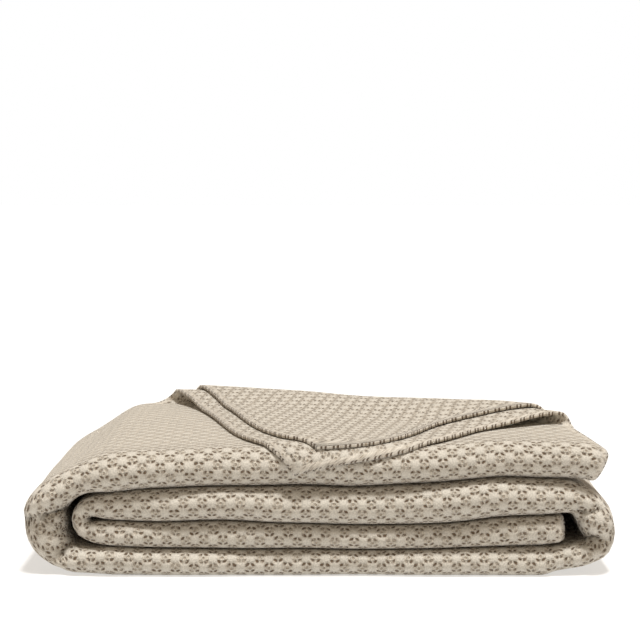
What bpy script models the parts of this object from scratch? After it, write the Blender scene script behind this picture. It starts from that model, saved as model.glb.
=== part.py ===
"""A waffle bedspread, folded for the shelf, as one solid of cloth.

The cloth is folded in half and then in three, like a letter, which gives a strip six layers deep with one
full rounded lip along the front. The strip is then rolled up in four, from its right end. The free corners of
the two top layers, behind on the right, are turned over diagonally and hang down over the front lip.

X runs to the right along the lips, Y away from them and Z up. Sizes are in metres.
"""

import math

import bmesh
import bpy
import numpy as np

# The cloth.
THICKNESS = 0.0028
LAYERS = 6
HALF_LAYERS = (LAYERS - 1) / 2

# The strip, across its layers: it lies between the centre of its front lip and that of its back fold.
FRONT = -0.170
BACK = 0.176
REST_STATIONS = (0.0, 0.16, 0.52, 1.0)
HIDDEN_STATIONS = (0.0, 0.45, 1.0)
ROLL_GAP = 0.0010
LIP_LENGTH = 1.20
BACK_LENGTH = 1.10
LIP_STEPS = 7
BACK_STEPS = 5
SPINE_STEPS = 3
SPINE_RECESS = 0.012

# The folded cloth swells a little behind its front lips, by this share of its height. Its top sinks there
# towards the left end.
SWELL = 0.062
SWELL_DEPTH = 0.22
SINK = 0.17
SINK_FROM = -0.205
SINK_REACH = 0.075
SINK_HEIGHT = (0.050, 0.140)

# The lines along which the four turns of the roll lie on each other, from the left end to the right one:
# the height of the top of the first, second, third and fourth turn, counted from the table.
ROLL_LINES = (
    # x,     first,  second, third,  fourth
    (-0.205, 0.0285, 0.0530, 0.0810, 0.1215),
    (-0.164, 0.0270, 0.0525, 0.0868, 0.1250),
    (-0.090, 0.0260, 0.0545, 0.0895, 0.1270),
    (-0.030, 0.0255, 0.0515, 0.0888, 0.1270),
    (0.030, 0.0255, 0.0505, 0.0882, 0.1265),
    (0.085, 0.0258, 0.0510, 0.0905, 0.1280),
    (0.137, 0.0272, 0.0530, 0.0938, 0.1310),
    (0.180, 0.0280, 0.0572, 0.0968, 0.1335),
    (0.218, 0.0292, 0.0595, 0.0965, 0.1335),
)

# Where the strip turns over: its middle line, its depth across the layers, and how far its front lip is
# tucked in there. The strip is drawn in at the creases of its own lip.
INNER_END = (0.2400, 0.0455, 0.0265, 0.0000)
INNER_FOLD = (
    # x,     z,      depth,  tuck
    (-0.2230, 0.0418, 0.0215, 0.002),
    (-0.2330, 0.0455, 0.0195, 0.004),
    (-0.2367, 0.0545, 0.0190, 0.006),
    (-0.2325, 0.0630, 0.0200, 0.004),
    (-0.2220, 0.0665, 0.0225, 0.002),
)
RIGHT_TURN = (
    # x,     z,      depth,  tuck
    (0.2440, 0.0775, 0.0345, 0.001),
    (0.2605, 0.0705, 0.0345, 0.001),
    (0.2700, 0.0595, 0.0360, 0.000),
    (0.2740, 0.0475, 0.0345, 0.000),
    (0.2785, 0.0385, 0.0300, 0.003),
    (0.2760, 0.0288, 0.0270, 0.005),
    (0.2630, 0.0205, 0.0255, 0.003),
    (0.2320, 0.0160, 0.0260, 0.001),
)
LEFT_TURN = (
    # x,     z,      depth,  tuck
    (-0.2290, 0.0140, 0.0265, 0.001),
    (-0.2470, 0.0160, 0.0280, 0.001),
    (-0.2590, 0.0235, 0.0330, 0.004),
    (-0.2690, 0.0340, 0.0400, 0.013),
    (-0.2728, 0.0470, 0.0440, 0.017),
    (-0.2728, 0.0600, 0.0430, 0.006),
    (-0.2665, 0.0730, 0.0375, 0.001),
    (-0.2525, 0.0855, 0.0330, 0.000),
    (-0.2330, 0.0950, 0.0330, 0.000),
)
OUTER_END = ((0.250, 0.1145, 0.0370), (0.266, 0.1122, 0.0380), (0.277, 0.1072, 0.0380))

# The creases across the front lip where the strip turns over: how deep and wide each is, and where it runs.
CREASES = (
    # depth, width, points of x and z
    (0.028, 0.0060, ((-0.2900, 0.0520), (-0.2741, 0.0590), (-0.2624, 0.0622), (-0.2500, 0.0650))),
    (0.026, 0.0055, ((-0.2440, 0.0370), (-0.2490, 0.0310), (-0.2566, 0.0206))),
    (0.012, 0.0045, ((0.2546, 0.0653), (0.2643, 0.0633), (0.2721, 0.0673))),
    (0.022, 0.0060, ((0.2540, 0.0450), (0.2600, 0.0405), (0.2780, 0.0360), (0.2940, 0.0355))),
)
CREASE_FADE = 0.075
INNER_END_ROUNDING = 0.010
OUTER_END_ROUNDING = 0.012

# Where the two top layers end, before their corners are turned: their free edges behind the strip, and how
# far each layer's right end stops short of that of the front lip.
FREE_EDGES = (
    # x,     top,    under
    (-0.300, 0.180, 0.174),
    (-0.170, 0.182, 0.174),
    (-0.050, 0.205, 0.194),
    (0.100, 0.247, 0.236),
    (0.205, 0.261, 0.249),
    (0.281, 0.255, 0.236),
)
RIGHT_END = (
    # y,     top,    under, others
    (-0.170, 0.000, 0.000, 0.000),
    (-0.080, 0.021, 0.030, 0.019),
    (0.020, 0.026, 0.050, 0.027),
    (0.075, 0.016, 0.058, 0.030),
    (0.135, 0.006, 0.026, 0.032),
    (0.175, 0.013, 0.016, 0.032),
    (0.252, 0.032, 0.041, 0.032),
)
RIGHT_END_REACH = 0.120

# The turned corner: the fold line runs from the back edge on the left to the right end.
FOLD_LEFT = (-0.1920, 0.181)
FOLD_RIGHT = (0.2620, -0.080)
FOLD_RADIUS = (0.0078, 0.0066)
FLAP_CLOSING = 0.32
FLAP_REST = 0.0050
FLAP_SETTLE = 0.075
FOLD_STEPS = 6
HANG_ANGLE = 78
LIP_CREASES = (-0.012, 0.0, 0.006, 0.012, 0.018, 0.024, 0.030)

CUT_SNAP = 0.0008

# Where the middle of the whole folded cloth lies in the sizes above: it becomes the origin.
MIDDLE = (-0.00055, -0.00449)

# What comes this near to the table lies on it.
TABLE_REACH = 0.0004

CLOTH_COLOUR = (0.62, 0.55, 0.44, 1.0)


def smooth_step(t):
    t = min(max(t, 0.0), 1.0)
    return t * t * (3 - 2 * t)


def read(table, place, column):
    """A column of a table, at a place between its rows."""
    rows = [row[0] for row in table]
    return float(np.interp(place, rows, [row[column] for row in table]))


def turn_of_roll(number, order):
    """One turn of the roll, as rows of x, z, depth and tuck."""
    rows = []
    for line in sorted(ROLL_LINES, key=lambda row: order * row[0]):
        low = line[number - 1] if number > 1 else -ROLL_GAP / 2
        high = line[number]
        rows.append((line[0], (low + high) / 2, high - low, 0.0))
    return rows


def roll_rows():
    """The middle line of the whole strip, from its inner end to its outer one."""
    second, third = turn_of_roll(2, -1), turn_of_roll(3, 1)
    first, fourth = turn_of_roll(1, -1), turn_of_roll(4, 1)
    outer = [(*row, 0.0) for row in OUTER_END]
    rows = []
    for stretch in ([INNER_END], second, INNER_FOLD, third, RIGHT_TURN, first, LEFT_TURN, fourth, outer):
        turning = float(stretch in (RIGHT_TURN, LEFT_TURN))
        rows += [(*row, turning) for row in stretch]
    return rows


class Strip:
    """The middle line of the rolled strip, with the depth of its layers and the tuck of its front lip."""

    def __init__(self):
        rows = np.array(roll_rows(), float)
        steps = np.linalg.norm(np.diff(rows[:, :2], axis=0), axis=1)
        self.gone = np.concatenate(([0.0], np.cumsum(steps)))
        self.length = self.gone[-1]
        along = np.gradient(rows[:, :2], axis=0)
        along /= np.linalg.norm(along, axis=1)[:, None]
        level = np.where(np.abs(along[:, 0]) > 0.9, np.abs(along[:, 0]), 1.0)
        self.along = along
        self.middle = rows[:, :2]
        self.out = np.stack((-along[:, 1], along[:, 0]), axis=1)
        self.pitch = (rows[:, 2] * level - ROLL_GAP - THICKNESS) / (LAYERS - 1)
        self.tuck = rows[:, 3]
        self.turning = rows[:, 4]
        self.fourth = len(rows) - len(ROLL_LINES) - len(OUTER_END) - 1

    def read(self, column, gone):
        return float(np.interp(gone, self.gone, column))

    def point(self, gone, level):
        """The point of one layer after this length of the strip, as x and z."""
        depth = level * self.read(self.pitch, gone)
        x = self.read(self.middle[:, 0], gone) + depth * self.read(self.out[:, 0], gone)
        z = self.read(self.middle[:, 1], gone) + depth * self.read(self.out[:, 1], gone)
        return x, z


def end_rounding(gone, left):
    """How far the front lip draws back where the strip ends."""
    found = 0.0
    for distance, size in ((gone, INNER_END_ROUNDING), (left, OUTER_END_ROUNDING)):
        if distance < size:
            t = 1 - distance / size
            found = max(found, size * (1 - math.sqrt(max(1 - t * t, 0.0))))
    return found


def nose(pitch, centre, level, radius, length, start, steps, way):
    """Points of a fold across the layers, from its start angle through half a turn."""
    found = []
    for step in range(1, steps):
        angle = math.radians(start + 180 * step / steps)
        y = centre + way * length * radius * pitch * abs(math.sin(angle))
        found.append((y, level + radius * math.cos(angle)))
    return found


def rests(start, end, level, shares=HIDDEN_STATIONS):
    """Points of a layer between two folds."""
    return [(start + t * (end - start), level) for t in shares]


def section(pitch, drawn, top, under):
    """The cloth across the strip, as pairs of y and level, from its top free edge to the one under it.

    Levels are in layers out from the strip's middle, so the outermost layer is at HALF_LAYERS.
    """
    front = FRONT + drawn
    spine = front + SPINE_RECESS
    cloth = rests(front, top, 2.5, REST_STATIONS)[::-1]
    cloth += nose(pitch, front, 0, 2.5, LIP_LENGTH, 0, LIP_STEPS, -1)
    cloth += rests(front, BACK, -2.5)
    cloth += nose(pitch, BACK, -1, 1.5, BACK_LENGTH, 180, BACK_STEPS, 1)
    cloth += rests(spine, BACK, 0.5)[::-1]
    cloth += nose(pitch, spine, 0, 0.5, LIP_LENGTH, 0, SPINE_STEPS, -1)
    cloth += rests(spine, BACK, -0.5)
    cloth += nose(pitch, BACK, -1, 0.5, BACK_LENGTH, 0, SPINE_STEPS, 1)
    cloth += rests(front, BACK, -1.5)[::-1]
    cloth += nose(pitch, front, 0, 1.5, LIP_LENGTH, 180, LIP_STEPS, -1)
    return cloth + rests(front, under, 1.5, REST_STATIONS)


def from_crease(points, x, z):
    """How far a place on the front lip lies from a crease."""
    found = []
    for (ax, az), (bx, bz) in zip(points, points[1:]):
        share = ((x - ax) * (bx - ax) + (z - az) * (bz - az)) / math.dist((ax, az), (bx, bz)) ** 2
        share = min(max(share, 0.0), 1.0)
        found.append(math.dist((x, z), (ax + share * (bx - ax), az + share * (bz - az))))
    return min(found)


def swollen(x, y, z, turning=0.0):
    """The point once its front lip is creased, where the strip turns, and the cloth behind it swells."""
    behind = smooth_step((y - FRONT) / SWELL_DEPTH)
    on_lip = turning * (1 - smooth_step((y - FRONT) / CREASE_FADE))
    drawn = 0.0
    if on_lip > 0:
        for depth, width, points in CREASES:
            drawn = max(drawn, depth * math.exp(-from_crease(points, x, z) / width))
    low, high = SINK_HEIGHT
    sunk = smooth_step((SINK_FROM - x) / SINK_REACH) * smooth_step((z - low) / (high - low))
    swell = SWELL - SINK * sunk
    return x, y + drawn * on_lip, z * (1 + swell * behind)


def drawn_in(left, y, level):
    """How far the strip's outer end stops short there of the end of its front lip."""
    share = smooth_step(1 - left / RIGHT_END_REACH)
    column = {2.5: 1, 1.5: 2}.get(level, 3)
    return share * read(RIGHT_END, y, column)


def lay(mesh, strip):
    """The cloth folded and rolled, with its corner still lying flat. Gives back its points in rows."""
    grid = []
    for i, gone in enumerate(strip.gone):
        left = strip.length - gone
        on_top = i >= strip.fourth
        place = strip.middle[i, 0] if on_top else FREE_EDGES[0][0]
        drawn = strip.tuck[i] + end_rounding(gone, left)
        edges = [read(FREE_EDGES, place, column) for column in (1, 2)]
        row = []
        for y, level in section(strip.pitch[i], drawn, *edges):
            x, z = strip.point(gone - drawn_in(left, y, level), level)
            row.append(mesh.verts.new(swollen(x, y, z, strip.turning[i])))
        grid.append(row)
    for first, second in zip(grid, grid[1:]):
        for i in range(len(first) - 1):
            mesh.faces.new((first[i], first[i + 1], second[i + 1], second[i]))
    return grid


class TopOfRoll:
    """The outer face of the fourth turn, which the turned corner lies on."""

    def __init__(self, strip):
        here = slice(strip.fourth, None)
        self.x = strip.middle[here, 0]
        self.z = strip.middle[here, 1]
        self.pitch = strip.pitch[here]
        self.out = strip.out[here]

    def pitch_at(self, x):
        return float(np.interp(x, self.x, self.pitch))

    def point(self, x, y, rise):
        """The point this far above the face, at x and y or over the front lip past it."""
        pitch = self.pitch_at(x)
        out = [float(np.interp(x, self.x, self.out[:, i])) for i in (0, 1)]
        depth = HALF_LAYERS * pitch + rise
        if y < FRONT:
            past = FRONT - y
            reach = HALF_LAYERS * pitch * LIP_LENGTH + rise
            angle = min(past / reach, math.radians(HANG_ANGLE))
            straight = past - angle * reach
            y = FRONT - reach * math.sin(angle) - straight * math.cos(angle)
            depth = depth * math.cos(angle) - straight * math.sin(angle)
        z = float(np.interp(x, self.x, self.z))
        return swollen(x + depth * out[0], y, z + depth * out[1])


class CornerFold:
    """The fold line, which turns the free corners of the two top layers over."""

    def __init__(self, top):
        self.top = top
        self.start = np.array(FOLD_LEFT)
        reach = np.array(FOLD_RIGHT) - self.start
        self.length = np.linalg.norm(reach)
        self.along = reach / self.length
        self.out = np.array((-self.along[1], self.along[0]))

    def turned(self, x, y, under):
        """Where a point of the corner lies once it is turned over, or nothing if it stays."""
        place = np.array((x, y)) - self.start
        beyond, forward = float(place @ self.out), float(place @ self.along)
        if beyond <= 0:
            return None
        share = min(max(forward / self.length, 0.0), 1.0)
        radius = FOLD_RADIUS[0] + share * (FOLD_RADIUS[1] - FOLD_RADIUS[0])
        closing = 1 - FLAP_CLOSING * smooth_step(beyond / (math.pi * radius))
        pitch = self.top.pitch_at(x) * closing if under else 0.0
        mine = radius + pitch
        angle = min(beyond / mine, math.pi)
        past = beyond - angle * mine
        spot = self.start + forward * self.along + (mine * math.sin(angle) - past) * self.out
        rise = radius - mine * math.cos(angle)
        rise += (FLAP_REST - 2 * radius) * smooth_step(past / FLAP_SETTLE)
        return self.top.point(*spot, rise)

    def lines(self, under):
        """The lines that the flat cloth is creased along: a place on each and its normal."""
        radius = sum(FOLD_RADIUS) / 2
        if under:
            radius += float(np.mean(self.top.pitch)) * (1 - FLAP_CLOSING)
        curl = math.pi * radius
        found = [(self.start + curl * i / FOLD_STEPS * self.out, self.out) for i in range(FOLD_STEPS + 1)]
        for share in (0.45, 1.0):
            found.append((self.start + (curl + share * FLAP_SETTLE) * self.out, self.out))
        # The front lip that the flap hangs over, mirrored in the fold line.
        for reach in LIP_CREASES:
            place = np.array((0.0, FRONT - reach)) - self.start
            place = self.start + (place @ self.along) * self.along + (curl - place @ self.out) * self.out
            normal = self.along[1] * self.along - self.out[1] * self.out
            found.append((place, normal))
        return found


def cut_along(mesh, faces, place, normal):
    """Adds a line of edges across the given faces, where a plane meets them."""
    edges = {edge for face in faces for edge in face.edges}
    verts = {vert for face in faces for vert in face.verts}
    done = bmesh.ops.bisect_plane(
        mesh,
        geom=[*verts, *edges, *faces],
        plane_co=(*place, 0.0),
        plane_no=(*normal, 0.0),
        dist=CUT_SNAP,
    )
    return [item for item in done["geom"] if isinstance(item, bmesh.types.BMFace)]


def turn_corner(mesh, grid, strip):
    """Turns the free corners of the two top layers over the fold line."""
    fold = CornerFold(TopOfRoll(strip))
    count = len(REST_STATIONS) - 1
    last = len(grid[0]) - 1
    for under, columns in ((False, range(count)), (True, range(last - count, last))):
        faces = []
        for near, far in zip(grid[strip.fourth :], grid[strip.fourth + 1 :]):
            for j in columns:
                corners = {near[j], near[j + 1], far[j], far[j + 1]}
                faces += [f for f in near[j].link_faces if set(f.verts) == corners]
        for place, normal in fold.lines(under):
            faces = cut_along(mesh, faces, place, normal)
        for vert in {vert for face in faces for vert in face.verts}:
            spot = fold.turned(vert.co.x, vert.co.y, under)
            if spot:
                vert.co = spot


def press_on_table(mesh):
    """The lowest layer lies flat where it all but touches the table."""
    low = THICKNESS / 2
    for vert in mesh.verts:
        if vert.co.z < low + TABLE_REACH:
            vert.co.z = low


def thicken(bedspread):
    """Give the cloth its thickness, and make its underside one plane."""
    modifier = bedspread.modifiers.new("thickness", "SOLIDIFY")
    modifier.thickness = THICKNESS
    modifier.offset = 0.0
    depsgraph = bpy.context.evaluated_depsgraph_get()
    solid = bpy.data.meshes.new_from_object(bedspread.evaluated_get(depsgraph))
    bedspread.modifiers.clear()
    sheet = bedspread.data
    bedspread.data = solid
    bpy.data.meshes.remove(sheet)
    solid.name = "bedspread"
    for vertex in solid.vertices:
        if vertex.co.z < TABLE_REACH / 2:
            vertex.co.z = 0.0


def cloth_material():
    material = bpy.data.materials.new("natural_waffle_cotton")
    material.use_nodes = True
    shader = material.node_tree.nodes["Principled BSDF"]
    shader.inputs["Base Color"].default_value = CLOTH_COLOUR
    shader.inputs["Roughness"].default_value = 0.9
    shader.inputs["Metallic"].default_value = 0.0
    return material


def clear_scene():
    for obj in list(bpy.data.objects):
        bpy.data.objects.remove(obj, do_unlink=True)


def build():
    clear_scene()
    strip = Strip()
    mesh = bmesh.new()
    grid = lay(mesh, strip)
    turn_corner(mesh, grid, strip)
    press_on_table(mesh)
    bmesh.ops.triangulate(mesh, faces=mesh.faces)
    bmesh.ops.recalc_face_normals(mesh, faces=mesh.faces)

    data = bpy.data.meshes.new("bedspread")
    bmesh.ops.translate(mesh, verts=mesh.verts, vec=(-MIDDLE[0], -MIDDLE[1], 0.0))
    mesh.to_mesh(data)
    mesh.free()
    bedspread = bpy.data.objects.new("bedspread", data)
    group = bpy.data.collections.new("folded_waffle_bedspread")
    bpy.context.scene.collection.children.link(group)
    group.objects.link(bedspread)
    data.materials.append(cloth_material())

    thicken(bedspread)


build()
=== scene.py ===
import math

import bmesh
import bpy
import numpy as np
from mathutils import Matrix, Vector


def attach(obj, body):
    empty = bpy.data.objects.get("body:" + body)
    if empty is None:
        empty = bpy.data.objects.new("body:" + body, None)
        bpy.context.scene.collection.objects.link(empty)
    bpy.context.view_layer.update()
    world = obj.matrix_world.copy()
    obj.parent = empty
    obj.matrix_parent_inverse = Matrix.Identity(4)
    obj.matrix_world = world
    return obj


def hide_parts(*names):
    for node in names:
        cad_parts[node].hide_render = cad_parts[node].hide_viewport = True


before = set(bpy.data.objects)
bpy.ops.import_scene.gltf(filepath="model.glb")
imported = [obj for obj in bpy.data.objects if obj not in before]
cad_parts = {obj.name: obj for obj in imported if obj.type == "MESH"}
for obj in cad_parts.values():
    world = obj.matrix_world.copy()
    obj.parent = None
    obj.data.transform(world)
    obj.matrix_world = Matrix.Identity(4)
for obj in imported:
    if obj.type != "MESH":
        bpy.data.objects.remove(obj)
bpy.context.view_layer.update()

# One cloth, folded in half and in three, rolled up in four, with its free corners turned over.
# The sizes and tables are those of the solid, read here through smooth curves.
clothSettings = {
    "width": 2.24,
    "length": 2.24,
    "thickness": 0.0028,
    "layers": 6,
    "hemWidth": 0.009,
    "hemThicker": 0.22,  # how much thicker the turned hem is than the cloth
    "middle": (-0.00055, -0.00449),  # of the folded cloth in the sizes below: it becomes the origin
}

stripSettings = {
    "front": -0.170,
    "back": 0.176,
    "rollGap": 0.0010,
    "lipLength": 1.20,
    "backLength": 1.10,
    "spineRecess": 0.012,
    "swell": 0.062,
    "swellDepth": 0.22,
    "sink": 0.17,
    "sinkFrom": -0.205,
    "sinkReach": 0.075,
    "sinkHeight": (0.050, 0.140),
    "creaseFade": 0.075,
    "innerRounding": 0.010,
    "outerRounding": 0.012,
    "rightEndReach": 0.120,
}

# Where the turns lie on each other: the top of the first, second, third and fourth.
rollLines = (
    # x, first, second, third, fourth
    (-0.205, 0.0285, 0.0530, 0.0810, 0.1215),
    (-0.164, 0.0270, 0.0525, 0.0868, 0.1250),
    (-0.090, 0.0260, 0.0545, 0.0895, 0.1270),
    (-0.030, 0.0255, 0.0515, 0.0888, 0.1270),
    (0.030, 0.0255, 0.0505, 0.0882, 0.1265),
    (0.085, 0.0258, 0.0510, 0.0905, 0.1280),
    (0.137, 0.0272, 0.0530, 0.0938, 0.1310),
    (0.180, 0.0280, 0.0572, 0.0968, 0.1335),
    (0.218, 0.0292, 0.0595, 0.0965, 0.1335),
)

# Rows of x, z, depth across the layers, and tuck of the front lip.
innerEnd = (0.2400, 0.0455, 0.0265, 0.000)
innerFold = (
    (-0.2230, 0.0418, 0.0215, 0.002),
    (-0.2330, 0.0455, 0.0195, 0.004),
    (-0.2367, 0.0545, 0.0190, 0.006),
    (-0.2325, 0.0630, 0.0200, 0.004),
    (-0.2220, 0.0665, 0.0225, 0.002),
)
rightTurn = (
    (0.2440, 0.0775, 0.0345, 0.001),
    (0.2605, 0.0705, 0.0345, 0.001),
    (0.2700, 0.0595, 0.0360, 0.000),
    (0.2740, 0.0475, 0.0345, 0.000),
    (0.2785, 0.0385, 0.0300, 0.003),
    (0.2760, 0.0288, 0.0270, 0.005),
    (0.2630, 0.0205, 0.0255, 0.003),
    (0.2320, 0.0160, 0.0260, 0.001),
)
leftTurn = (
    (-0.2290, 0.0140, 0.0265, 0.001),
    (-0.2470, 0.0160, 0.0280, 0.001),
    (-0.2590, 0.0235, 0.0330, 0.004),
    (-0.2690, 0.0340, 0.0400, 0.013),
    (-0.2728, 0.0470, 0.0440, 0.017),
    (-0.2728, 0.0600, 0.0430, 0.006),
    (-0.2665, 0.0730, 0.0375, 0.001),
    (-0.2525, 0.0855, 0.0330, 0.000),
    (-0.2330, 0.0950, 0.0330, 0.000),
)
outerEnd = (
    (0.250, 0.1145, 0.0370, 0.0),
    (0.266, 0.1122, 0.0380, 0.0),
    (0.277, 0.1072, 0.0380, 0.0),
)

# The creases across the front lip where the strip turns over.
lipCreases = (
    # depth, width, points of x and z
    (0.028, 0.0060, ((-0.2900, 0.0520), (-0.2741, 0.0590), (-0.2624, 0.0622), (-0.2500, 0.0650))),
    (0.026, 0.0055, ((-0.2440, 0.0370), (-0.2490, 0.0310), (-0.2566, 0.0206))),
    (0.012, 0.0045, ((0.2546, 0.0653), (0.2643, 0.0633), (0.2721, 0.0673))),
    (0.022, 0.0060, ((0.2540, 0.0450), (0.2600, 0.0405), (0.2780, 0.0360), (0.2940, 0.0355))),
)

# The free edges of the top layer and the one under it, before the corners are turned over.
freeEdges = (
    # x, top, under
    (-0.300, 0.180, 0.174),
    (-0.170, 0.182, 0.174),
    (-0.050, 0.205, 0.194),
    (0.100, 0.247, 0.236),
    (0.205, 0.261, 0.249),
    (0.281, 0.255, 0.236),
)
rightEnd = (
    # y, top, under, other layers
    (-0.170, 0.000, 0.000, 0.000),
    (-0.080, 0.021, 0.030, 0.019),
    (0.020, 0.026, 0.050, 0.027),
    (0.075, 0.016, 0.058, 0.030),
    (0.135, 0.006, 0.026, 0.032),
    (0.175, 0.013, 0.016, 0.032),
    (0.252, 0.032, 0.041, 0.032),
)

flapSettings = {
    "foldLeft": (-0.1920, 0.181),
    "foldRight": (0.2620, -0.080),
    "radius": (0.0078, 0.0066),
    "closing": 0.32,
    "rest": 0.0050,
    "settle": 0.075,
    "hangAngle": 78,
    "creases": 14,
}

# How finely the cloth is laid out: the length of a step along the strip, and points in each stretch across it.
meshSettings = {
    "alongStep": 0.0066,
    "topPoints": 30,
    "underPoints": 26,
    "lipPoints": 15,
    "bottomPoints": 9,
    "hiddenPoints": 4,
    "backPoints": 8,
    "innerPoints": 5,
}


def smoothStep(t):
    t = min(max(t, 0.0), 1.0)
    return t * t * (3 - 2 * t)


def smoothRows(rows, counts):
    # a smooth curve through the rows, which all of their columns follow
    rows = [np.array(row, float) for row in rows]
    ends = [2 * rows[0] - rows[1], *rows, 2 * rows[-1] - rows[-2]]
    found = []
    for i, count in enumerate(counts):
        a, b, c, d = ends[i : i + 4]
        for j in range(count):
            t = j / count
            found.append(
                0.5
                * (
                    2 * b
                    + (c - a) * t
                    + (2 * a - 5 * b + 4 * c - d) * t**2
                    + (3 * b - a - 3 * c + d) * t**3
                )
            )
    found.append(rows[-1])
    return np.array(found)


freeEdgeCurve = smoothRows(freeEdges, [8] * (len(freeEdges) - 1))
rightEndCurve = smoothRows(rightEnd, [8] * (len(rightEnd) - 1))


def readCurve(curve, place, column):
    return float(np.interp(place, curve[:, 0], curve[:, column]))


def turnOfRoll(number, order):
    rows = []
    for line in sorted(rollLines, key=lambda row: order * row[0]):
        low = line[number - 1] if number > 1 else -stripSettings["rollGap"] / 2
        high = line[number]
        rows.append((line[0], (low + high) / 2, high - low, 0.0))
    return rows


class Strip:
    # the rolled strip's middle line, with the depth of its layers and the tuck of its front lip
    def __init__(self):
        stretches = [[innerEnd], turnOfRoll(2, -1), innerFold, turnOfRoll(3, 1), rightTurn]
        stretches += [turnOfRoll(1, -1), leftTurn, turnOfRoll(4, 1), outerEnd]
        rows = []
        for stretch in stretches:
            turning = float(stretch in (rightTurn, leftTurn))
            rows += [(*row, turning) for row in stretch]
        beforeTop = len(rows) - len(rollLines) - len(outerEnd) - 1
        step = meshSettings["alongStep"]
        counts = [
            max(2, math.ceil(math.dist(a[:2], b[:2]) / step)) for a, b in zip(rows, rows[1:])
        ]
        curve = smoothRows(rows, counts)
        self.topFrom = sum(counts[:beforeTop])
        self.middle = curve[:, :2]
        steps = np.linalg.norm(np.diff(self.middle, axis=0), axis=1)
        self.gone = np.concatenate(([0.0], np.cumsum(steps)))
        self.length = self.gone[-1]
        along = np.gradient(self.middle, axis=0)
        along /= np.linalg.norm(along, axis=1)[:, None]
        self.out = np.stack((-along[:, 1], along[:, 0]), axis=1)
        lean = np.clip((np.abs(along[:, 0]) - 0.8) / 0.15, 0, 1)
        lean = 1 + (np.abs(along[:, 0]) - 1) * lean
        gaps = stripSettings["rollGap"] + clothSettings["thickness"]
        self.pitch = (curve[:, 2] * lean - gaps) / (clothSettings["layers"] - 1)
        self.tuck = np.maximum(curve[:, 3], 0.0)
        self.turning = np.clip(curve[:, 4], 0.0, 1.0)

    def point(self, gone, level):
        def read(column):
            return float(np.interp(gone, self.gone, column))

        depth = level * read(self.pitch)
        x = read(self.middle[:, 0]) + depth * read(self.out[:, 0])
        return x, read(self.middle[:, 1]) + depth * read(self.out[:, 1])


def endRounding(gone, left):
    found = 0.0
    for distance, size in (
        (gone, stripSettings["innerRounding"]),
        (left, stripSettings["outerRounding"]),
    ):
        if distance < size:
            t = 1 - distance / size
            found = max(found, size * (1 - math.sqrt(max(1 - t * t, 0.0))))
    return found


def fold(pitch, centre, level, radius, length, start, points, way):
    found = []
    for i in range(1, points):
        angle = math.radians(start + 180 * i / points)
        y = centre + way * length * radius * pitch * abs(math.sin(angle))
        found.append((y, level + radius * math.cos(angle)))
    return found


def rest(start, end, level, points, crowd=1.0):
    return [(start + (i / points) ** crowd * (end - start), level) for i in range(points + 1)]


def section(pitch, drawn, top, under):
    # the cloth across the strip, from its top free edge to the one under it
    front, back = stripSettings["front"] + drawn, stripSettings["back"]
    spine = front + stripSettings["spineRecess"]
    lip, behind = stripSettings["lipLength"], stripSettings["backLength"]
    m = meshSettings
    cloth = rest(front, top, 2.5, m["topPoints"], 1.35)[::-1]
    cloth += fold(pitch, front, 0, 2.5, lip, 0, m["lipPoints"], -1)
    cloth += rest(front, back, -2.5, m["bottomPoints"], 1.8)
    cloth += fold(pitch, back, -1, 1.5, behind, 180, m["backPoints"], 1)
    cloth += rest(spine, back, 0.5, m["hiddenPoints"])[::-1]
    cloth += fold(pitch, spine, 0, 0.5, lip, 0, m["innerPoints"], -1)
    cloth += rest(spine, back, -0.5, m["hiddenPoints"])
    cloth += fold(pitch, back, -1, 0.5, behind, 0, m["innerPoints"], 1)
    cloth += rest(front, back, -1.5, m["hiddenPoints"])[::-1]
    cloth += fold(pitch, front, 0, 1.5, lip, 180, m["backPoints"], -1)
    return cloth + rest(front, under, 1.5, m["underPoints"], 1.2)


def lumps(x, y, z):
    # small uneven waves, the same for everything near a place, so that no two layers cross
    wave = math.sin(x * 31 + 1.3 + z * 9) * 0.5 + math.sin(x * 67 + y * 23 + 0.4) * 0.3
    wave += math.sin(x * 13 - y * 41 + z * 60) * 0.35
    return wave


def fromCrease(points, x, z):
    found = []
    for (ax, az), (bx, bz) in zip(points, points[1:]):
        share = ((x - ax) * (bx - ax) + (z - az) * (bz - az)) / math.dist((ax, az), (bx, bz)) ** 2
        share = min(max(share, 0.0), 1.0)
        found.append(math.dist((x, z), (ax + share * (bx - ax), az + share * (bz - az))))
    return min(found)


def creased(x, y, z, turning):
    onLip = turning * (1 - smoothStep((y - stripSettings["front"]) / stripSettings["creaseFade"]))
    drawn = 0.0
    if onLip > 0:
        for depth, width, points in lipCreases:
            drawn = max(drawn, depth * math.exp(-fromCrease(points, x, z) / width))
    return y + drawn * onLip


def settled(x, y, z, turning=0.0):
    # the cloth swells behind its lips and lies a little uneven
    behind = smoothStep((y - stripSettings["front"]) / stripSettings["swellDepth"])
    low, high = stripSettings["sinkHeight"]
    sunk = smoothStep((stripSettings["sinkFrom"] - x) / stripSettings["sinkReach"])
    sunk *= smoothStep((z - low) / (high - low))
    lifted = z * (1 + (stripSettings["swell"] - stripSettings["sink"] * sunk) * behind)
    lifted += 0.0011 * lumps(x, y, z) * min(z / 0.06, 1.0)
    inLip = 1 - smoothStep((y - stripSettings["front"]) / 0.06)
    wave = 0.0012 * inLip * (math.sin(x * 24 + z * 75 + 0.8) + 0.6 * math.sin(x * 53 - z * 110))
    return x, creased(x, y, z, turning) + wave, lifted


def drawnIn(left, y, level):
    share = smoothStep(1 - left / stripSettings["rightEndReach"])
    column = {2.5: 1, 1.5: 2}.get(level, 3)
    return share * readCurve(rightEndCurve, y, column)


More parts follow.
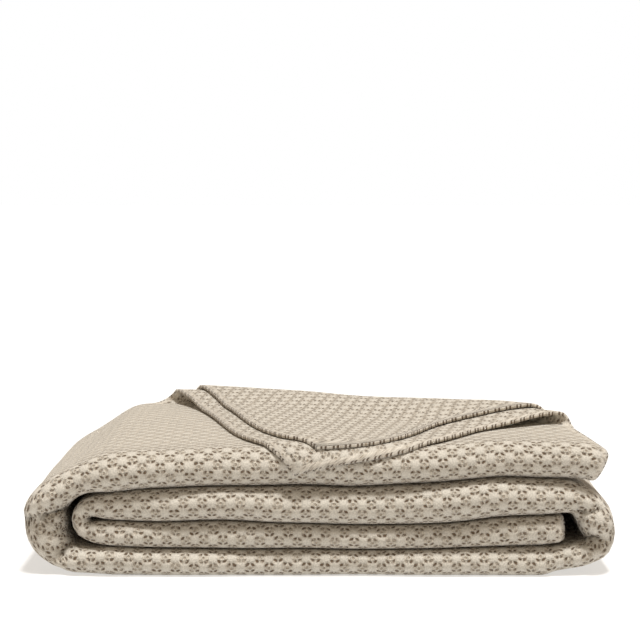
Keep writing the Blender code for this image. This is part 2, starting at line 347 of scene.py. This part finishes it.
class TopOfRoll:
    # the outer face of the fourth turn, which the flap lies on
    def __init__(self, strip):
        here = slice(strip.topFrom, None)
        self.x = strip.middle[here, 0]
        self.z = strip.middle[here, 1]
        self.pitch = strip.pitch[here]
        self.out = strip.out[here]

    def pitchAt(self, x):
        return float(np.interp(x, self.x, self.pitch))

    def point(self, x, y, rise):
        pitch = self.pitchAt(x)
        out = [float(np.interp(x, self.x, self.out[:, i])) for i in (0, 1)]
        depth = 2.5 * pitch + rise
        front = stripSettings["front"]
        if y < front:
            past = front - y
            reach = 2.5 * pitch * stripSettings["lipLength"] + rise
            angle = min(past / reach, math.radians(flapSettings["hangAngle"]))
            straight = past - angle * reach
            y = front - reach * math.sin(angle) - straight * math.cos(angle)
            depth = depth * math.cos(angle) - straight * math.sin(angle)
        z = float(np.interp(x, self.x, self.z))
        return settled(x + depth * out[0], y, z + depth * out[1])


class CornerFold:
    def __init__(self, top):
        self.top = top
        self.start = np.array(flapSettings["foldLeft"])
        reach = np.array(flapSettings["foldRight"]) - self.start
        self.length = np.linalg.norm(reach)
        self.along = reach / self.length
        self.out = np.array((-self.along[1], self.along[0]))

    def turned(self, x, y, under):
        place = np.array((x, y)) - self.start
        beyond, forward = float(place @ self.out), float(place @ self.along)
        if beyond <= 0:
            return None
        share = min(max(forward / self.length, 0.0), 1.0)
        near, far = flapSettings["radius"]
        radius = near + share * (far - near)
        closing = 1 - flapSettings["closing"] * smoothStep(beyond / (math.pi * radius))
        pitch = self.top.pitchAt(x) * closing if under else 0.0
        mine = radius + pitch
        angle = min(beyond / mine, math.pi)
        past = beyond - angle * mine
        spot = self.start + forward * self.along + (mine * math.sin(angle) - past) * self.out
        rise = radius - mine * math.cos(angle)
        rise += (flapSettings["rest"] - 2 * radius) * smoothStep(past / flapSettings["settle"])
        return self.top.point(*spot, rise)

    def lines(self, under):
        radius = sum(flapSettings["radius"]) / 2
        if under:
            radius += float(np.mean(self.top.pitch)) * (1 - flapSettings["closing"])
        curl = math.pi * radius
        count = flapSettings["creases"]
        return [self.start + curl * i / count * self.out for i in range(count + 1)]


def cutAlong(mesh, faces, place, normal):
    edges = {edge for face in faces for edge in face.edges}
    verts = {vert for face in faces for vert in face.verts}
    done = bmesh.ops.bisect_plane(
        mesh,
        geom=[*verts, *edges, *faces],
        plane_co=(*place, 0.0),
        plane_no=(*normal, 0.0),
        dist=0.0003,
    )
    return [item for item in done["geom"] if isinstance(item, bmesh.types.BMFace)]


def layCloth():
    strip = Strip()
    mesh = bmesh.new()
    weaveMap = mesh.loops.layers.uv.new("weaveMap")
    hemMap = mesh.loops.layers.uv.new("hemMap")
    laidMap = mesh.loops.layers.uv.new("laidMap")  # how far a place lies on top, or in the turned corner
    hemGroup = mesh.verts.layers.deform.new()
    grid, marks = [], {}
    topCount = meshSettings["topPoints"]
    underCount = meshSettings["underPoints"]
    for i, gone in enumerate(strip.gone):
        left = strip.length - gone
        place = strip.middle[i, 0] if i >= strip.topFrom else freeEdges[0][0]
        drawn = strip.tuck[i] + endRounding(gone, left)
        edges = [readCurve(freeEdgeCurve, place, column) for column in (1, 2)]
        points = section(strip.pitch[i], drawn, *edges)
        lengths = [
            math.hypot(a[0] - b[0], (a[1] - b[1]) * strip.pitch[i])
            for a, b in zip(points, points[1:])
        ]
        across = np.concatenate(([0.0], np.cumsum(lengths)))
        middle = across[topCount + meshSettings["lipPoints"] // 2 + 1]
        row = []
        for j, (y, level) in enumerate(points):
            taken = drawnIn(left, y, level)
            x, z = strip.point(gone - taken, level)
            vert = mesh.verts.new(settled(x, y, z, strip.turning[i]))
            fromEdge = min(across[j], across[-1] - across[j])
            fromEnd = min(gone, left)
            onTop = smoothStep((y - stripSettings["front"]) / 0.05) if level == 2.5 else 0.0
            marks[vert] = ((gone - taken, across[j] - middle), (fromEdge, fromEnd), (onTop, 0.0))
            if min(fromEdge, fromEnd) < clothSettings["hemWidth"]:
                vert[hemGroup][0] = 1.0
            row.append(vert)
        grid.append(row)
    for near, far in zip(grid, grid[1:]):
        for j in range(len(near) - 1):
            face = mesh.faces.new((near[j], near[j + 1], far[j + 1], far[j]))
            face.smooth = True
            for loop in face.loops:
                loop[weaveMap].uv, loop[hemMap].uv, loop[laidMap].uv = marks[loop.vert]
    print("cloth laid out:", len(grid), "by", len(grid[0]), "points")
    turnCorner(mesh, grid, strip, topCount, underCount)
    return mesh, strip


def turnCorner(mesh, grid, strip, topCount, underCount):
    cornerFold = CornerFold(TopOfRoll(strip))
    laidMap = mesh.loops.layers.uv["laidMap"]
    last = len(grid[0]) - 1
    for under, columns in ((False, range(topCount)), (True, range(last - underCount, last))):
        faces = []
        for near, far in zip(grid[strip.topFrom :], grid[strip.topFrom + 1 :]):
            for j in columns:
                corners = {near[j], near[j + 1], far[j], far[j + 1]}
                faces += [f for f in near[j].link_faces if set(f.verts) == corners]
        for place in cornerFold.lines(under):
            faces = cutAlong(mesh, faces, place, cornerFold.out)
        for vert in {vert for face in faces for vert in face.verts}:
            spot = cornerFold.turned(vert.co.x, vert.co.y, under)
            if spot:
                vert.co = spot
                for loop in vert.link_loops:
                    loop[laidMap].uv = (0.0, 1.0)
    print("corner turned over")


def pressOnTable(mesh):
    low = clothSettings["thickness"] / 2
    for vert in mesh.verts:
        if vert.co.z < low + 0.0004:
            vert.co.z = low


# The weave: raised stars and rings in a checkerboard, with four holes round each ring and one in its middle,
# painted dark as painted shade in the holes.
weaveSettings = {
    "cell": 0.0092,
    "holePlace": (0.30, 0.33),  # from the middle of a ring, in cells
    "holeLean": 28,
    "holeLength": 0.270,
    "holeWidth": 0.140,
    "centreHoleRadius": 0.105,
    "ringRadius": 0.20,
    "starSquare": 0.43,
    "starPoints": 0.62,
    "threadPitch": 0.00125,
    "reliefHeight": 0.0024,
}

# Pairs of dark stitches over the edges.
stitchSettings = {
    "pitch": 0.0115,  # from one pair of stitches to the next
    "apart": 0.17,  # of a stitch from the middle of its pair, as a share of the pitch
    "halfWidth": (0.05, 0.10),  # where a stitch starts to fade and where it ends
    "reach": (0.0006, 0.0017),
    "strength": 0.9,
}

clothColours = {
    "star": (0.610, 0.568, 0.492, 1),
    "ground": (0.575, 0.520, 0.432, 1),
    # painted shade in the holes, a dark brown that the stitches share
    "holeShade": (0.105, 0.060, 0.027, 1),
    # painted shade in the hole in the middle of each ring
    "centreHoleShade": (0.400, 0.330, 0.250, 1),
    "hem": (0.600, 0.550, 0.470, 1),
}

clothLooks = {
    # how much of the holes' painted shade shows, and how much of it is left on the hem, on top and in the
    # turned corner
    "holeShadeShare": 0.92,
    "holeShadeOnHem": 0.35,
    "holeShadeOnTop": 0.18,
    "holeShadeInCorner": 0.80,
    "hemShare": 0.55,
    "shade": (0.82, 1.08),  # of the darkest and the lightest threads
    "relief": 0.9,
    "roughness": 0.92,
    "sheen": 0.22,
}


class NodeDesk:
    # short ways to add nodes to a group or a material and to join them
    def __init__(self, tree):
        self.tree = tree
        self.column = 0

    def add(self, kind, **values):
        node = self.tree.nodes.new(kind)
        for name, value in values.items():
            setattr(node, name, value)
        self.column += 1
        node.location = (self.column % 12 * 180, -(self.column // 12) * 220)
        return node

    def feed(self, socket, value):
        if isinstance(value, bpy.types.NodeSocket):
            self.tree.links.new(value, socket)
        else:
            socket.default_value = value

    def math(self, operation, *values, clamp=False):
        node = self.add("ShaderNodeMath", operation=operation, use_clamp=clamp)
        for socket, value in zip(node.inputs, values):
            self.feed(socket, value)
        return node.outputs[0]

    def ramp(self, value, low, high, start=0.0, end=1.0):
        node = self.add("ShaderNodeMapRange", interpolation_type="SMOOTHSTEP")
        for name, given in (
            ("Value", value),
            ("From Min", low),
            ("From Max", high),
            ("To Min", start),
            ("To Max", end),
        ):
            self.feed(node.inputs[name], given)
        return node.outputs["Result"]

    def distance(self, first, second):
        squares = [self.math("MULTIPLY", value, value) for value in (first, second)]
        return self.math("SQRT", self.math("ADD", *squares))

    def drifted(self, place, scale, reach):
        # the place moved a little by a noise of this scale
        noise = self.add("ShaderNodeTexNoise")
        self.feed(noise.inputs["Vector"], place)
        noise.inputs["Scale"].default_value = scale
        noise.inputs["Detail"].default_value = 1
        centred = self.add("ShaderNodeVectorMath", operation="SUBTRACT")
        self.feed(centred.inputs[0], noise.outputs["Color"])
        centred.inputs[1].default_value = (0.5, 0.5, 0.5)
        moved = self.add("ShaderNodeVectorMath", operation="MULTIPLY_ADD")
        self.feed(moved.inputs[0], centred.outputs[0])
        moved.inputs[1].default_value = (reach, reach, reach)
        self.feed(moved.inputs[2], place)
        return moved.outputs[0]

    def stitches(self, fromEdge, along):
        # pairs of dark stitches over an edge
        pair = self.math("FRACT", self.math("DIVIDE", along, stitchSettings["pitch"]))
        pair = self.math("ABSOLUTE", self.math("SUBTRACT", pair, 0.5))
        gap = self.math("ABSOLUTE", self.math("SUBTRACT", pair, stitchSettings["apart"]))
        inRow = self.ramp(fromEdge, *stitchSettings["reach"], 1.0, 0.0)
        return self.math("MULTIPLY", inRow, self.ramp(gap, *stitchSettings["halfWidth"], 1.0, 0.0))

    def mixColour(self, share, first, second):
        node = self.add("ShaderNodeMix", data_type="RGBA")
        for i, value in ((0, share), (6, first), (7, second)):
            self.feed(node.inputs[i], value)
        return node.outputs[2]

    def mixValue(self, share, first, second):
        node = self.add("ShaderNodeMix", data_type="FLOAT")
        for i, value in ((0, share), (2, first), (3, second)):
            self.feed(node.inputs[i], value)
        return node.outputs[0]


def makeWeaveGroup():
    w = weaveSettings
    group = bpy.data.node_groups.new("waffleWeave", "ShaderNodeTree")
    sockets = group.interface
    sockets.new_socket("Place", in_out="INPUT", socket_type="NodeSocketVector")
    sockets.new_socket("Cell", in_out="INPUT", socket_type="NodeSocketFloat")
    for name in ("Star", "HoleShade", "Dot", "Height"):
        sockets.new_socket(name, in_out="OUTPUT", socket_type="NodeSocketFloat")
    desk = NodeDesk(group)
    given = desk.add("NodeGroupInput")
    givenPlace, cell = given.outputs["Place"], given.outputs["Cell"]

    # a little drift, so that the rows are not ruled
    place = desk.drifted(givenPlace, 55, 0.0038)
    place = desk.drifted(place, 420, 0.0011)
    split = desk.add("ShaderNodeSeparateXYZ")
    desk.feed(split.inputs[0], place)

    u = desk.math("DIVIDE", split.outputs["X"], cell)
    v = desk.math("DIVIDE", split.outputs["Y"], cell)
    column, row = desk.math("FLOOR", u), desk.math("FLOOR", v)
    parity = desk.math("FLOORED_MODULO", desk.math("ADD", column, row), 2.0)
    across = desk.math("SUBTRACT", desk.math("FRACT", u), 0.5)
    along = desk.math("SUBTRACT", desk.math("FRACT", v), 0.5)
    besideU, besideV = desk.math("ABSOLUTE", across), desk.math("ABSOLUTE", along)
    radius = desk.distance(across, along)

    # four holes round the ring, lying along it, painted dark as painted shade, some of it faint
    offU = desk.math("SUBTRACT", besideU, w["holePlace"][0])
    offV = desk.math("SUBTRACT", besideV, w["holePlace"][1])
    lean = math.radians(w["holeLean"])
    lengthwise = desk.math(
        "SUBTRACT",
        desk.math("MULTIPLY", offU, math.cos(lean) / w["holeLength"]),
        desk.math("MULTIPLY", offV, math.sin(lean) / w["holeLength"]),
    )
    outwards = desk.math(
        "ADD",
        desk.math("MULTIPLY", offU, math.sin(lean) / w["holeWidth"]),
        desk.math("MULTIPLY", offV, math.cos(lean) / w["holeWidth"]),
    )
    holeShade = desk.ramp(desk.distance(lengthwise, outwards), 0.55, 1.15, 1.0, 0.0)
    faint = desk.add("ShaderNodeTexNoise")
    desk.feed(faint.inputs["Vector"], givenPlace)
    faint.inputs["Scale"].default_value = 210
    faint.inputs["Detail"].default_value = 1
    holeShade = desk.math("MULTIPLY", holeShade, desk.ramp(faint.outputs["Fac"], 0.36, 0.58, 0.45, 1.0))
    holeShade = desk.math("MULTIPLY", holeShade, parity)
    # the hole in the middle of the ring, painted darker as painted shade
    centreHoleShade = desk.ramp(radius, w["centreHoleRadius"] * 0.6, w["centreHoleRadius"] * 1.5, 1.0, 0.0)
    centreHoleShade = desk.math("MULTIPLY", centreHoleShade, parity)

    # a star is a square and a diamond laid over each other
    square = desk.math("DIVIDE", desk.math("MAXIMUM", besideU, besideV), w["starSquare"])
    diamond = desk.math("DIVIDE", desk.math("ADD", besideU, besideV), w["starPoints"])
    starFace = desk.ramp(desk.math("MINIMUM", square, diamond), 0.72, 1.22, 1.0, 0.0)
    star = desk.math("MULTIPLY", starFace, desk.math("SUBTRACT", 1.0, parity))

    # fine threads, one way on the stars and the other way between
    turn = 2 * math.pi / w["threadPitch"]
    threadU = desk.math("SINE", desk.math("MULTIPLY", split.outputs["X"], turn))
    threadV = desk.math("SINE", desk.math("MULTIPLY", split.outputs["Y"], turn))
    thread = desk.mixValue(star, threadV, threadU)
    ringReach = desk.math("ABSOLUTE", desk.math("SUBTRACT", radius, w["ringRadius"]))
    ring = desk.math("MULTIPLY", desk.ramp(ringReach, 0.0, 0.13, 1.0, 0.0), parity)

    dome = desk.ramp(radius, 0.0, 0.62, 1.0, 0.0)
    dome = desk.math("MULTIPLY", dome, desk.math("SUBTRACT", 1.0, parity))
    height = desk.math("MULTIPLY", star, 0.45)
    for part, share in ((dome, 0.45), (ring, 0.50), (holeShade, -0.85), (centreHoleShade, -0.30), (thread, 0.05)):
        height = desk.math("ADD", height, desk.math("MULTIPLY", part, share))

    out = desk.add("NodeGroupOutput")
    for name, value in (("Star", star), ("HoleShade", holeShade), ("Dot", centreHoleShade), ("Height", height)):
        desk.feed(out.inputs[name], value)
    return group


def makeClothMaterial(name, weaveGroup):
    material = bpy.data.materials.new(name)
    material.use_nodes = True
    desk = NodeDesk(material.node_tree)
    shader = material.node_tree.nodes["Principled BSDF"]
    place = desk.add("ShaderNodeUVMap", uv_map="weaveMap")
    weave = desk.add("ShaderNodeGroup", node_tree=weaveGroup)
    desk.feed(weave.inputs["Place"], place.outputs[0])
    weave.inputs["Cell"].default_value = weaveSettings["cell"]

    # the hem, with pairs of dark stitches
    hemPlace = desk.add("ShaderNodeUVMap", uv_map="hemMap")
    hemSplit = desk.add("ShaderNodeSeparateXYZ")
    desk.feed(hemSplit.inputs[0], hemPlace.outputs[0])
    fromRim = desk.math("MINIMUM", hemSplit.outputs["X"], hemSplit.outputs["Y"])
    hem = desk.ramp(fromRim, 0.0060, 0.0085, 1.0, 0.0)
    weaveSplit = desk.add("ShaderNodeSeparateXYZ")
    desk.feed(weaveSplit.inputs[0], place.outputs[0])
    rows = [desk.stitches(hemSplit.outputs[a], weaveSplit.outputs[b]) for a, b in (("X", "X"), ("Y", "Y"))]
    stitch = desk.math("MAXIMUM", *rows)
    laid = desk.add("ShaderNodeUVMap", uv_map="laidMap")
    laidSplit = desk.add("ShaderNodeSeparateXYZ")
    desk.feed(laidSplit.inputs[0], laid.outputs[0])
    onTop, inCorner = laidSplit.outputs["X"], laidSplit.outputs["Y"]

    colour = desk.mixColour(weave.outputs["Star"], clothColours["ground"], clothColours["star"])
    inHem = desk.math("MULTIPLY", hem, clothLooks["hemShare"])
    colour = desk.mixColour(inHem, colour, clothColours["hem"])
    # painted shade in the holes, less of it on the hem, on top and in the turned corner, then the dark
    # stitches in the same brown
    colour = desk.mixColour(weave.outputs["Dot"], colour, clothColours["centreHoleShade"])
    holeShadeAndStitches = desk.math("MULTIPLY", weave.outputs["HoleShade"], clothLooks["holeShadeShare"])
    for where, share in ((hem, "holeShadeOnHem"), (onTop, "holeShadeOnTop"), (inCorner, "holeShadeInCorner")):
        holeShadeAndStitches = desk.math("MULTIPLY", holeShadeAndStitches, desk.ramp(where, 0.0, 1.0, 1.0, clothLooks[share]))
    stitched = desk.math("MULTIPLY", stitch, stitchSettings["strength"])
    holeShadeAndStitches = desk.math("MAXIMUM", holeShadeAndStitches, stitched)
    colour = desk.mixColour(holeShadeAndStitches, colour, clothColours["holeShade"])

    uneven = desk.add("ShaderNodeTexNoise")
    desk.feed(uneven.inputs["Vector"], place.outputs[0])
    uneven.inputs["Scale"].default_value = 650
    uneven.inputs["Detail"].default_value = 3
    shade = desk.ramp(uneven.outputs["Fac"], 0.3, 0.7, *clothLooks["shade"])
    tinted = desk.add("ShaderNodeMix", data_type="RGBA", blend_type="MULTIPLY")
    tinted.inputs[0].default_value = 1.0
    desk.feed(tinted.inputs[6], colour)
    desk.feed(tinted.inputs[7], shade)
    desk.feed(shader.inputs["Base Color"], tinted.outputs[2])

    height = desk.math("ADD", weave.outputs["Height"], desk.math("MULTIPLY", uneven.outputs["Fac"], 0.35))
    height = desk.mixValue(desk.math("MULTIPLY", hem, 0.7), height, 0.6)
    height = desk.math("SUBTRACT", height, desk.math("MULTIPLY", stitch, 0.6))
    bump = desk.add("ShaderNodeBump")
    bump.inputs["Strength"].default_value = clothLooks["relief"]
    bump.inputs["Distance"].default_value = weaveSettings["reliefHeight"]
    desk.feed(bump.inputs["Height"], height)
    desk.feed(shader.inputs["Normal"], bump.outputs[0])
    shader.inputs["Roughness"].default_value = clothLooks["roughness"]
    shader.inputs["Specular IOR Level"].default_value = 0.2
    shader.inputs["Sheen Weight"].default_value = clothLooks["sheen"]
    shader.inputs["Sheen Roughness"].default_value = 0.5
    return material


def makeBedspread():
    mesh, strip = layCloth()
    pressOnTable(mesh)
    middle = clothSettings["middle"]
    bmesh.ops.translate(mesh, verts=mesh.verts, vec=(-middle[0], -middle[1], 0.0))
    bmesh.ops.recalc_face_normals(mesh, faces=mesh.faces)
    data = bpy.data.meshes.new("wovenBedspread")
    mesh.to_mesh(data)
    mesh.free()
    cloth = bpy.data.objects.new("wovenBedspread", data)
    bpy.context.scene.collection.objects.link(cloth)
    cloth.vertex_groups.new(name="hem")
    weaveGroup = makeWeaveGroup()
    data.materials.append(makeClothMaterial("waffleFace", weaveGroup))
    thicken = cloth.modifiers.new("clothThickness", "SOLIDIFY")
    thicken.thickness = clothSettings["thickness"] * (1 + clothSettings["hemThicker"])
    thicken.vertex_group = "hem"
    thicken.thickness_vertex_group = 1 / (1 + clothSettings["hemThicker"])
    thicken.offset = 0.0
    print("cloth thickened; strip length", round(strip.length, 3))
    return cloth


def addCamera():
    cameraSettings = {
        "distance": 2.0,  # from the front of the lips
        "frontPlane": -0.183,
        "height": 0.40,
        "focalPixels": 2058.5,
        "picturePixels": 640,
        "tiltDown": 4.2,
    }
    data = bpy.data.cameras.new("camera")
    camera = bpy.data.objects.new("camera", data)
    bpy.context.scene.collection.objects.link(camera)
    data.sensor_width = 36
    data.lens = cameraSettings["focalPixels"] * data.sensor_width / cameraSettings["picturePixels"]
    middle = clothSettings["middle"]
    back = cameraSettings["frontPlane"] - cameraSettings["distance"]
    camera.location = (-middle[0], back - middle[1], cameraSettings["height"])
    camera.rotation_euler = (math.radians(90 - cameraSettings["tiltDown"]), 0, 0)
    data.clip_end = 50
    bpy.context.scene.camera = camera


def addStudio():
    studioSettings = {
        "floor": (0.42, 0.42, 0.42, 1),
        "floorGlow": (1.0, 0.98, 0.95, 1),
        "glowStrength": 0.55,
        "sunEnergy": 3.4,
        "sunAngle": 9,
        "sunWay": (-0.10, 0.24, -1),
        "fill": (0.48, 0.405, 0.325, 1),
        "behind": (1, 1, 1, 1),
    }
    floorData = bpy.data.meshes.new("floor")
    floorData.from_pydata([(-20, -20, 0), (20, -20, 0), (20, 20, 0), (-20, 20, 0)], [], [(0, 1, 2, 3)])
    floor = bpy.data.objects.new("floor", floorData)
    bpy.context.scene.collection.objects.link(floor)
    material = bpy.data.materials.new("paleFloor")
    material.use_nodes = True
    shader = material.node_tree.nodes["Principled BSDF"]
    shader.inputs["Base Color"].default_value = studioSettings["floor"]
    shader.inputs["Emission Color"].default_value = studioSettings["floorGlow"]
    shader.inputs["Emission Strength"].default_value = studioSettings["glowStrength"]
    shader.inputs["Roughness"].default_value = 0.95
    shader.inputs["Specular IOR Level"].default_value = 0.0
    floorData.materials.append(material)

    sunData = bpy.data.lights.new("keyLight", "SUN")
    sunData.energy = studioSettings["sunEnergy"]
    sunData.angle = math.radians(studioSettings["sunAngle"])
    sun = bpy.data.objects.new("keyLight", sunData)
    bpy.context.scene.collection.objects.link(sun)
    sun.rotation_euler = Vector(studioSettings["sunWay"]).to_track_quat("-Z", "Y").to_euler()
    world = bpy.data.worlds.new("studio")
    world.use_nodes = True
    desk = NodeDesk(world.node_tree)
    background = world.node_tree.nodes["Background"]
    seen = desk.add("ShaderNodeLightPath").outputs["Is Camera Ray"]
    shown = desk.mixColour(seen, studioSettings["fill"], studioSettings["behind"])
    desk.feed(background.inputs["Color"], shown)
    bpy.context.scene.world = world
    bpy.context.scene.view_settings.view_transform = "Standard"


cloth = makeBedspread()
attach(cloth, "root")
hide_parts("bedspread")
addStudio()
addCamera()
print("studio and camera set")
